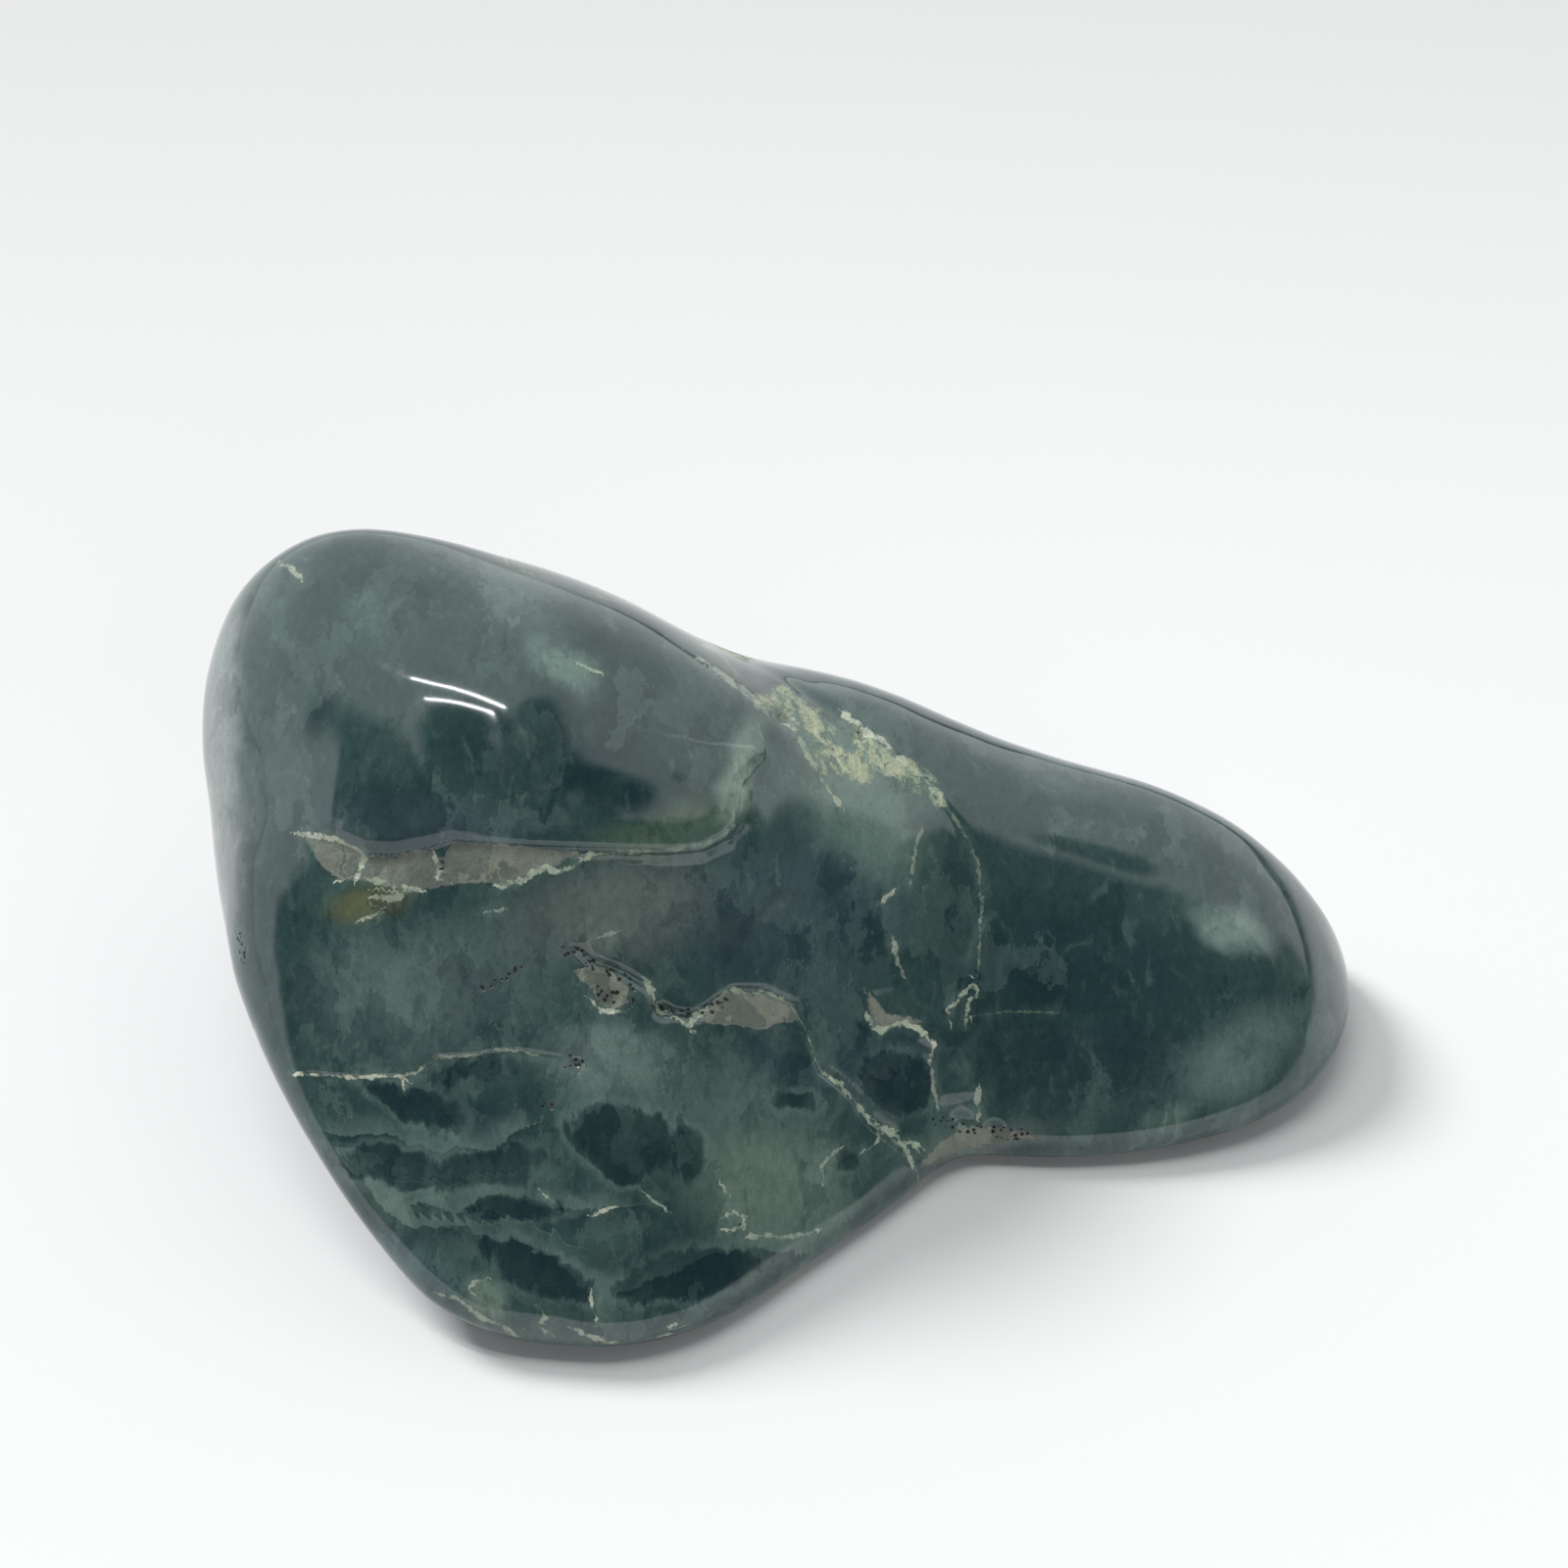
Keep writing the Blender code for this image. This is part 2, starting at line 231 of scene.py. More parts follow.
# lift raises the left hand of the path, blur is half the width of the step and fade how far
# back it dies away; a groove runs along its foot, half as wide as foot says
breaks = {
    "ledge": dict(path=[(-49.5, -5.1), (-46.3, -5.5), (-42.9, -7.2), (-39.8, -7.3), (-36.2, -6.5),
                        (-33.9, -5.8), (-26, -6.3), (-18, -6.5), (-11.9, -6.7), (-8.3, -6.4),
                        (-6, -5.2), (-4.9, -3.6), (-4.4, 0), (-1.6, 3.3), (-3, 6.4)],
                  lift=0.9, blur=0.5, fade=7, groove=0.7, foot=1.3),
    "mainCrack": dict(path=[(-23.4, -17), (-21.2, -17), (-19.7, -18.2), (-16.4, -19.4),
                            (-13.6, -20.9), (-12.5, -23.3), (-8.6, -23.8), (-4.6, -21.2),
                            (-1.6, -21.3), (1.3, -22.7), (2.9, -25.5), (4.1, -29.2), (5.7, -30.4),
                            (7.7, -32.3), (8.8, -34.2), (10.2, -35.5), (12.2, -37), (13.6, -39.3)],
                      lift=-0.9, blur=0.35, fade=7, groove=0.45, foot=0.5),
    "sideCrack": dict(path=[(8.5, -20.8), (9.4, -24.7), (10.5, -25.2), (11.9, -24.3), (13.6, -24.4),
                            (13.9, -26.1), (15, -26.9), (15.3, -30.3), (15.8, -33.1)],
                      lift=0.4, blur=0.35, fade=4, groove=0.2, foot=0.4),
    "lowStep": dict(path=[(-49.7, -29.6), (-44, -30), (-39, -29.9), (-35.3, -27.9), (-31.1, -27.7),
                          (-27.2, -27.2), (-21.2, -28.1)],
                    lift=0.25, blur=0.4, fade=5, groove=0.25, foot=0.35),
    "saddleEdge": dict(path=[(-9.5, 16), (-4.4, 13.2), (0, 11), (6, 7), (10.5, 3.9), (14.4, 0.5),
                             (17.5, -3.7), (19.8, -8.2), (20.3, -10.5), (20.2, -15), (19.8, -20)],
                       lift=0.35, blur=0.45, fade=4, groove=0.15, foot=0.5),
}

breakEnds = 0.08    # share of a path over which its break dies away at each end

# pits: u, v, half width, depth
pits = [(-17.8, -21.8, 1.0, 0.9), (-12.2, -23.2, 0.8, 0.8), (0.1, 7.0, 0.6, 1.2),
        (-35.2, -8.4, 0.6, 1.0), (-21.0, -28.4, 0.5, 0.6), (8.0, 5.0, 0.5, 0.7),
        (18.4, -34.5, 0.8, 0.8), (21.5, -35.4, 0.7, 0.7)]

# bruised lines, white to green, and a few painted highlights among them: path, half width, strength
bruiseAndGlints = {
    "ledgeTip": ([(-49.5, -5.1), (-46.3, -5.5), (-44, -6.5), (-42.9, -7.4)], 0.28, 0.8),
    "ledgeBar": ([(-43.1, -7.3), (-43.1, -8.2), (-43.5, -9.3), (-45.1, -9.8)], 0.32, 0.9),
    "ledgeFoot": ([(-43.5, -9.5), (-42, -9.9), (-40.8, -10), (-39.6, -10.5), (-37.4, -10.9)],
                  0.32, 0.9),
    "ledgeNotch": ([(-35.8, -7.4), (-35.2, -8.8), (-35.4, -9.6), (-34.6, -9.9)], 0.2, 0.6),
    "ledgeToe": ([(-28.8, -10.3), (-27, -10), (-26, -9.3), (-24, -8.5), (-23.4, -9), (-21.3, -8.3),
                  (-19.6, -7.2)], 0.36, 0.95),
    "ledgeStain": ([(-41.5, -11.6), (-40, -11.7), (-38.4, -11.2)], 0.35, 0.6),
    "longEdge": ([(-19.6, -7.2), (-16, -6.9), (-11.9, -6.7), (-8.3, -6.4), (-6, -5.2), (-5, -4.3)],
                 0.2, 0.4),
    "noseEdge": ([(-5, -4.5), (-5.2, -3.2), (-4.6, -0.2), (-3.4, 1.2), (-1.6, 3.3), (-2.6, 5.7)],
                 0.18, 0.4),
    # painted highlights: the three short white dashes on the front flat are glints off small bumps
    "glintDashA": ([(-30.5, -13.2), (-28.8, -12.8)], 0.28, 0.7),
    "glintDashB": ([(-43, -13.8), (-41.7, -13.3)], 0.25, 0.6),
    "glintDashC": ([(-18.7, -15.7), (-17.3, -15.3)], 0.2, 0.5),
    "crackBead": ([(-13.9, -20.3), (-13.4, -20.9)], 0.45, 1.0),
    "crackRag": ([(-13.6, -21), (-13, -22.4), (-12.2, -23.6), (-10.6, -24), (-9.8, -24.8),
                  (-9.2, -24), (-8, -23.3)], 0.26, 0.85),
    "pitCluster": ([(-19.6, -22.2), (-18.6, -23.2), (-17, -23.3)], 0.3, 0.8),
    "plateEdge": ([(-6.2, -21.8), (-5.2, -20.9), (-3.6, -21.5), (-1.8, -21.1), (0.5, -22.1),
                   (1.6, -23.4)], 0.24, 0.85),
    "crackThin": ([(1.6, -23.4), (2.4, -25), (3, -26.5), (3.4, -28.2), (4.2, -29.5)], 0.16, 0.6),
    "crackStem": ([(4.2, -29.5), (6, -30.7), (7.3, -32.2), (8.7, -34), (10, -35), (11.7, -35.7),
                   (13.7, -37)], 0.36, 1.0),
    "crackLeft": ([(10, -35.2), (9.4, -36.6), (8.5, -37.3)], 0.24, 0.8),
    "crackToe": ([(11.6, -35.9), (12.7, -37.3), (13.2, -38.7), (13.7, -40)], 0.26, 0.8),
    "lowLine": ([(-49.7, -29.6), (-46.4, -29.7), (-44, -30), (-41, -29.8), (-38.9, -29.9),
                 (-37.6, -29.4)], 0.2, 1.0),
    "lowLineTail": ([(-37.6, -29.4), (-35.3, -27.9), (-32.4, -27.8), (-29.7, -27), (-27.2, -27.2),
                     (-24.8, -27.8)], 0.15, 0.6),
    "lowSpur": ([(-39, -29.9), (-38.8, -31.1)], 0.14, 0.6),
    "sideHook": ([(8.7, -23.7), (9.3, -24.8), (10.2, -25.2), (11, -24.8), (12.3, -24.3),
                  (13, -24.8), (14, -25), (14.5, -25.8), (15.3, -26.7), (15, -28.3)], 0.26, 0.95),
    "sideTail": ([(15, -28.3), (15.3, -30.3), (15.8, -33.1)], 0.12, 0.35),
    "bandKnot": ([(16.9, -24.2), (16.6, -23), (17.7, -22), (18.5, -21.2), (19.4, -20.3),
                  (19.8, -21.4), (18.8, -22.3), (18.5, -24.3)], 0.26, 0.9),
    "bandDots": ([(19.8, -31.4), (19.9, -33.6)], 0.3, 0.6),
    "heelLine": ([(19.6, -23.6), (23, -23.2), (27.9, -23.4)], 0.1, 0.25),
    "saddleCrease": ([(-11.7, 16), (-10.5, 14.6), (-8.3, 12.6), (-6.2, 11), (-4, 9.5), (-2.4, 8.1)],
                     0.35, 0.55),
    "crustFoot": ([(-0.2, 6.8), (1.3, 5.5), (2.1, 3.4), (3.4, 1.4), (4.4, -0.4), (5.7, -2.1)],
                  0.24, 0.95),
    "bandEdge": ([(6.2, 7), (7.7, 5.9), (10.5, 3.9), (12.5, 2.2), (14.4, 0.5), (16.1, -1.7)],
                 0.3, 0.8),
    "bandEdgeLow": ([(16.1, -1.7), (17.5, -3.7), (18.9, -5.9), (19.8, -8.2), (20.2, -12),
                     (19.8, -19.5)], 0.15, 0.4),
    "tongueEdge": ([(14, -4.9), (13.6, -5.8), (13.3, -7.9), (12.9, -10.4)], 0.16, 0.4),
    "facetNick": ([(10.2, -11.9), (11.2, -11)], 0.18, 0.5),
    "facetLine": ([(11.3, -16.3), (11.7, -18.3), (12.4, -19.7)], 0.2, 0.45),
    "ridgeNick": ([(-51.7, 22.7), (-50.3, 22), (-49.6, 21.3)], 0.3, 0.5),
    "ridgeScratch": ([(-20.9, 12.2), (-18.8, 11.3)], 0.12, 0.8),
    # painted highlight along the bottom rim, the paper mirrored at the edge, mixed with real light
    # flecks
    "toeEdgeHighlight": ([(-35, -52), (-32.7, -52.7), (-31.3, -54.3), (-28.7, -55.3), (-27.3, -56.2)],
               0.22, 0.6),
    "toeEdgeHighlightRight": ([(-21.3, -55.7), (-20, -56.3), (-18, -57), (-14.3, -57.2), (-12, -56.2),
                     (-8.7, -56.2), (-6.3, -55.5)], 0.2, 0.5),
    "toeMark": ([(-32, -51.3), (-31.6, -50.8), (-30.8, -50.7)], 0.25, 0.8),
    "toeFlecks": ([(-24.7, -53.7), (-24.2, -54.2), (-25.3, -55.3), (-24.2, -56)], 0.2, 0.7),
    "cellPoint": ([(-19.8, -52.3), (-19.4, -54), (-19.1, -54.6)], 0.16, 0.7),
    "waveFleck": ([(-24.4, -41.9), (-24, -42.3)], 0.22, 0.9),
    "waveTip": ([(-19.2, -43.9), (-17.8, -43.4)], 0.2, 0.8),
    "bellyDash": ([(-13.8, -42.2), (-12.2, -43.3)], 0.18, 0.8),
    "bellyDot": ([(-6.1, -41.2), (-5.9, -41.5)], 0.2, 1.0),
    "bellyKnot": ([(-5.8, -44), (-5.2, -43.7), (-4, -44.2), (-4.2, -45.2), (-5.6, -45.5)],
                  0.22, 0.8),
    "bellyEdge": ([(-3.4, -46.2), (-2, -46), (0.5, -46.3), (3, -45.7)], 0.24, 0.6),
    "eyeEdge": ([(4, -40.2), (3.8, -39), (4.4, -38.2), (5.4, -37.4)], 0.2, 0.75),
    "creamSpot": ([(-11.5, -55.3), (-11, -55.2)], 0.4, 0.8),
}

# pale dull plates where the polish never reached; outlines
plates = {
    "ledgePlate": [(-49.3, -5.2), (-46.3, -5.6), (-44, -6.5), (-42.9, -7.3), (-39.8, -7.5),
                   (-37.3, -6.7), (-36.2, -6.6), (-35.8, -7.6), (-35.2, -9), (-34.7, -7.6),
                   (-34, -6), (-30, -6.1), (-26, -6.4), (-20.5, -7), (-24.1, -8.7), (-28.3, -10.1),
                   (-32.3, -10.1), (-34.5, -10.4), (-37.3, -10.7), (-39.6, -10.7), (-42.4, -9.9),
                   (-45.2, -9.8), (-46.9, -8.7), (-48.2, -6.6)],
    "crackPlate": [(-7.6, -23), (-5.5, -21), (-3.5, -21.6), (-1, -21.3), (0.5, -22.2), (1.8, -23.6),
                   (1.4, -24.2), (-0.5, -24.3), (-2, -25), (-4, -24.8), (-6, -24.5), (-8.6, -24.3)],
    "pitPlate": [(-21.2, -19), (-19, -18.5), (-17, -19.5), (-15.8, -20.8), (-16, -22.5),
                 (-17.5, -23.2), (-19, -22.5), (-19.7, -20.8), (-21, -20)],
    "sidePlate": [(8.4, -20.8), (9.3, -22), (10.5, -23.5), (12.5, -23.7), (14, -24.2),
                  (13.5, -24.7), (11.5, -24.6), (10.3, -25.3), (9.3, -24.5)],
    "neckPlate": [(13.6, -39.2), (16, -36.5), (19, -35), (23, -35.2), (26.5, -36), (22, -36.6),
                  (18, -37.4), (15.5, -38.8)],
}

# cream rind left across the saddle
rind = {
    "saddleRind": [(-5, 13.4), (-3.5, 12.8), (-2, 11.9), (-0.3, 11.1), (1, 10), (1.4, 8.8),
                   (2.7, 7.8), (4.2, 6.5), (5.3, 6.2), (6.2, 7.2), (6.8, 5.8), (8, 5.2),
                   (10.5, 3.8), (12.5, 2), (14.5, 0.5), (16.2, -1.2), (16.5, -2.4), (15.2, -1.6),
                   (13.6, -0.8), (12, 0.3), (10.4, 1.2), (9.3, 2.2), (10, 1.2), (8, 0.3),
                   (6.2, 0.9), (5, 1.8), (3.8, 1), (2.6, 3), (1.5, 4.8), (0.3, 6.5), (-1, 7.2),
                   (-2.4, 8.1), (-2.8, 9.5), (-3.5, 11), (-4.3, 12)],
}

# dark glassy cells: u, v, half width, half height, turn in degrees
cells = {
    "bigOval": (-16.8, -36.2, 5.6, 3.9, -22),
    "ovalBud": (-9.6, -37.8, 1.9, 2.7, 10),
    "lowLens": (-10.2, -50.2, 7.4, 2.3, 13),
    "toeLens": (-25.2, -49.6, 6.4, 2.2, -24),
    "smallEye": (1.3, -32.4, 1.8, 0.95, -4),
    "neckEye": (6.5, -38.6, 1.8, 1.2, 8),
    "leftCell": (-39.6, -39.4, 6.4, 1.9, -12),
    "midCell": (-29.8, -39.2, 5.2, 2.1, 12),
    "leftPool": (-37.4, -32.8, 5.4, 1.9, -24),
    "stepShade": (-32, -29.4, 4.6, 1.2, 10),
    "waveShade": (-27.2, -43.6, 4.4, 1.1, 4),
    "facetPool": (11.6, -30.6, 3.6, 3.4, -30),
}

# scalloped edges in the colour alone: pale on the left hand of the path, dark on the right
waves = {
    "upper": [(-45, -35.5), (-40.8, -36.1), (-38, -37.2), (-34.9, -38.2), (-32.6, -37),
              (-29.6, -36.9), (-27.3, -35.5)],
    "middle": [(-36.6, -43.1), (-32.9, -43.9), (-29.6, -42.5), (-26.7, -42), (-24.2, -42),
               (-23.7, -43.1), (-21.1, -44.1), (-17.9, -43.5)],
    "lower": [(-45.1, -38.3), (-42, -42.5), (-38, -45.3), (-32.9, -45.5), (-28.7, -46.7),
              (-25.9, -47), (-23.9, -48.1), (-21.1, -50.9), (-19.5, -52.1), (-19.2, -54.6)],
    "right": [(-15.5, -51.5), (-11, -49.8), (-6.5, -48), (-2.5, -47.2), (0, -47.4)],
}

# soft clouds of colour, 0-255: u, v, half width, half height, turn, colour, strength
clouds = {
    # painted reflection: a pale band along the left outline, where the polish mirrors the paper at
    # a grazing angle
    "leftRimReflection": (-58.5, -2, 2.6, 26, -3, (176, 184, 184), 0.6),
    # painted sheen: a paler strip along the top outline, where the polish catches the bright room
    # at a grazing angle
    "topRimSheen": (-30, 26, 26, 1.8, -18, (140, 150, 150), 0.4),
    "paleBand": (-25.5, 16, 9, 2.2, -46, (108, 128, 124), 0.35),
    "palePatch": (-22.8, 11.8, 4.2, 2.0, -35, (132, 162, 150), 0.6),
    # deep teal of the stone, deepened as painted shade in the band below the ridge's highlights,
    # where the polish mirrors the unlit room
    "deepTealShade": (-22, 1.5, 15, 5.4, -12, (20, 46, 50), 0.8),
    "slate": (-36, -4, 12, 2.8, -4, (64, 78, 88), 0.65),
    "sageRim": (-11, -4.6, 9, 2.2, 12, (88, 108, 88), 0.65),
    "sageNose": (-4.6, 1, 2.0, 5.2, -18, (156, 178, 162), 0.8),
    "noseGrey": (-9, 8, 6, 5, -40, (50, 72, 74), 0.55),
    "belowLedge": (-37, -21, 12, 7, 0, (104, 120, 118), 0.6),
    "oliveWedge": (-42, -11.8, 4.8, 1.9, 15, (104, 106, 72), 0.75),
    "tanFlat": (-16, -13, 13, 5.2, 6, (112, 120, 116), 0.65),
    "blueFacet": (0, -14, 10, 10, -20, (58, 78, 86), 0.75),
    "deepBlue": (6.5, -11, 6.5, 4.5, -20, (50, 70, 80), 0.75),
    "facetShade": (10, -28.5, 4.8, 5, -30, (40, 58, 70), 0.7),
    "sageSaddle": (8, -2.6, 8.8, 5, -38, (116, 140, 130), 0.75),
    "greyTongue": (-0.4, 0, 3.4, 5, 25, (60, 82, 82), 0.5),
    "bandGreen": (16.5, -13, 3.4, 8, 10, (56, 78, 74), 0.6),
    "armDark": (31, -19, 16, 7, -10, (32, 58, 62), 0.7),
    "armLow": (33, -29, 13, 5, 0, (34, 52, 60), 0.65),
    "armPaleA": (45.5, -14.8, 4.2, 2.0, -25, (146, 168, 160), 0.7),
    "armPaleB": (46.5, -27.5, 7.5, 3.4, 32, (112, 132, 128), 0.65),
    "armPaleC": (39, -34.4, 3.4, 1.3, 24, (116, 140, 130), 0.6),
    "paleBelly": (-18, -28, 7, 3, 0, (130, 148, 142), 0.7),
    "greenBelly": (-11, -31, 12, 6, -12, (92, 114, 108), 0.65),
    "oliveBelly": (-1.5, -41, 8.5, 6, 0, (116, 138, 124), 0.7),
    "blueBelly": (0, -28.8, 4.6, 1.8, -28, (46, 66, 80), 0.6),
    "lavender": (-31, -34.2, 4, 1.8, 0, (38, 56, 64), 0.6),
    "paleTongue": (-41.4, -42, 5.2, 1.6, -42, (118, 138, 128), 0.7),
    # painted reflection: a lighter band along the bottom edge, where the turned-under rim mirrors
    # the paper
    "toePaleReflection": (-20, -55.4, 13, 1.4, 0, (70, 90, 88), 0.4),
    "toePatch": (-30, -52.4, 1.9, 1.8, -30, (132, 152, 136), 0.7),
    "toeSlate": (-38.5, -48.5, 6, 2, -38, (84, 106, 114), 0.55),
    "neckPale": (20, -36.4, 7, 1.6, 12, (112, 122, 118), 0.7),
}

# trails of small dark pits: path and half width
pitTrails = {
    "crackPits": ([(-23.4, -17), (-21.2, -17.3), (-19.7, -18.4), (-16.4, -19.8), (-15.4, -20.6)],
                  0.5),
    "clusterPits": ([(-19, -21.6), (-17.6, -21.9), (-16.2, -22)], 1.0),
    "ragPits": ([(-13.2, -22.4), (-12, -23.2), (-10.6, -23.8), (-7.2, -23), (-6, -22)], 0.45),
    "flatPits": ([(-31, -20.8), (-28.8, -20), (-27, -18.7)], 0.35),
    "stepPits": ([(-21.6, -27.9), (-20.6, -28.8), (-22.6, -29.4)], 0.45),
    "poolPits": ([(-24.8, -32.8), (-23.6, -32.8)], 0.35),
    "rindPit": ([(0, 7.2), (0.2, 6.9)], 0.5),
    "rindPitB": ([(7.7, 5.2), (7.8, 5.1)], 0.25),
    "notchPits": ([(-35.4, -7.8), (-35, -9.2)], 0.3),
    "neckPits": ([(15.8, -34.4), (17, -34.8), (21, -35.5), (24.5, -35.8)], 0.6),
    "rimPits": ([(-55.5, -15.5), (-55, -18)], 0.35),
    "knotPits": ([(-4.8, -44.6), (-4.5, -44.9)], 0.3),
}


def onSheet(points):
    tilt = math.radians(sheet["tilt"])
    forward = np.array((0, math.cos(tilt), -math.sin(tilt)))
    up = np.array((0, math.sin(tilt), math.cos(tilt)))
    sight = points - np.array(sheet["sight"])
    depth = sight @ forward
    return sheet["gap"] * sight[:, 0] / depth, sheet["gap"] * (sight @ up) / depth


def facingSheet(points, normals):
    sight = np.array(sheet["sight"]) - points
    sight = sight / np.linalg.norm(sight, axis=1, keepdims=True)
    return ease((sight * normals).sum(axis=1), *sheet["facing"])


def pathDistance(u, v, path):
    best = np.full(u.shape, np.inf)
    side = np.ones(u.shape)
    passed = np.zeros(u.shape)
    corners = np.array(path, dtype=float)
    runs = np.linalg.norm(np.diff(corners, axis=0), axis=1)
    walked = 0.0
    for start, end, run in zip(corners[:-1], corners[1:], runs):
        along = (end - start) / run
        du, dv = u - start[0], v - start[1]
        held = np.clip(du * along[0] + dv * along[1], 0, run)
        distance = np.hypot(du - held * along[0], dv - held * along[1])
        nearer = distance < best
        best = np.where(nearer, distance, best)
        side = np.where(nearer, np.where(along[0] * dv - along[1] * du >= 0, 1.0, -1.0), side)
        passed = np.where(nearer, (walked + held) / runs.sum(), passed)
        walked += run
    return best * side, passed


def breakSkin(u, v, facing):
    height = np.zeros(len(u))
    for gap in breaks.values():
        away, passed = pathDistance(u, v, gap["path"])
        taper = ease(passed, 0, breakEnds) * ease(1 - passed, 0, breakEnds)
        rise = ease(away, -gap["blur"], gap["blur"]) * np.exp(-np.maximum(away, 0) / gap["fade"])
        height += gap["lift"] * rise * taper
        height -= gap["groove"] * np.exp(-(away / gap["foot"]) ** 2) * taper
    for pitU, pitV, halfWidth, depth in pits:
        height -= depth * np.exp(-(np.hypot(u - pitU, v - pitV) / halfWidth) ** 2)
    return height * facing


def ripple(points):
    size, octaves = boulder["rippleSize"], boulder["rippleNoise"]
    return np.array([noise.fractal(Vector(point) / size, *octaves) for point in points])


def makeBoulder():
    cage, directions = makeCage()
    points = evenOut(cage, blowOut(directions))
    normals = stoneNormals(points)
    u, v = onSheet(points)
    facing = facingSheet(points, normals)
    height = breakSkin(u, v, facing) + ripple(points) * boulder["ripple"]
    skin = points + normals * height[:, None]
    skin[:, 2] = np.maximum(skin[:, 2], 0)
    low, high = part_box("jade_boulder")
    shift = np.array((low + high) / 2) / mm - (skin.min(axis=0) + skin.max(axis=0)) / 2
    shift[2] = 0
    for corner, spot in zip(cage.verts, (skin + shift) * mm):
        corner.co = spot
    bmesh.ops.recalc_face_normals(cage, faces=cage.faces[:])
    mesh = bpy.data.meshes.new("polishedBoulder")
    cage.to_mesh(mesh)
    cage.free()
    mesh.shade_smooth()
    stone = bpy.data.objects.new("polishedBoulder", mesh)
    bpy.context.scene.collection.objects.link(stone)
    print("boulder:", len(mesh.polygons), "faces, shift", [round(value, 2) for value in shift])
    return stone, points, u, v, facing, shift


def outlineDistance(u, v, outline):
    corners = np.array(outline, dtype=float)
    nearest = np.full(u.shape, np.inf)
    inside = np.zeros(u.shape, dtype=bool)
    for start, end in zip(corners, np.roll(corners, -1, axis=0)):
        along = end - start
        du, dv = u - start[0], v - start[1]
        t = np.clip((du * along[0] + dv * along[1]) / (along @ along), 0, 1)
        nearest = np.minimum(nearest, np.hypot(du - t * along[0], dv - t * along[1]))
        if along[1] != 0:
            crossed = (start[1] > v) != (end[1] > v)
            inside ^= crossed & (du < dv * along[0] / along[1])
    return np.where(inside, -nearest, nearest)


def ovalReach(u, v, oval):
    centreU, centreV, halfU, halfV, turn = oval
    c, s = math.cos(math.radians(turn)), math.sin(math.radians(turn))
    du, dv = u - centreU, v - centreV
    return np.hypot((du * c + dv * s) / halfU, (dv * c - du * s) / halfV)


# colour levels of 0-255 as linear light
def linearColour(levels):
    return np.array([math.pow((level / 255 + 0.055) / 1.055, 2.4) for level in levels])


def nearestOf(u, v, paths):
    side = np.full(u.shape, sheet["farOff"])
    which = np.zeros(u.shape, dtype=int)
    for number, path in enumerate(paths):
        away, _ = pathDistance(u, v, path)
        nearer = np.abs(away) < np.abs(side)
        side = np.where(nearer, away, side)
        which = np.where(nearer, number, which)
    return side, which


def wander(points, size, amount):
    return np.array([noise.noise_vector(Vector(point) / size) for point in points]) * amount


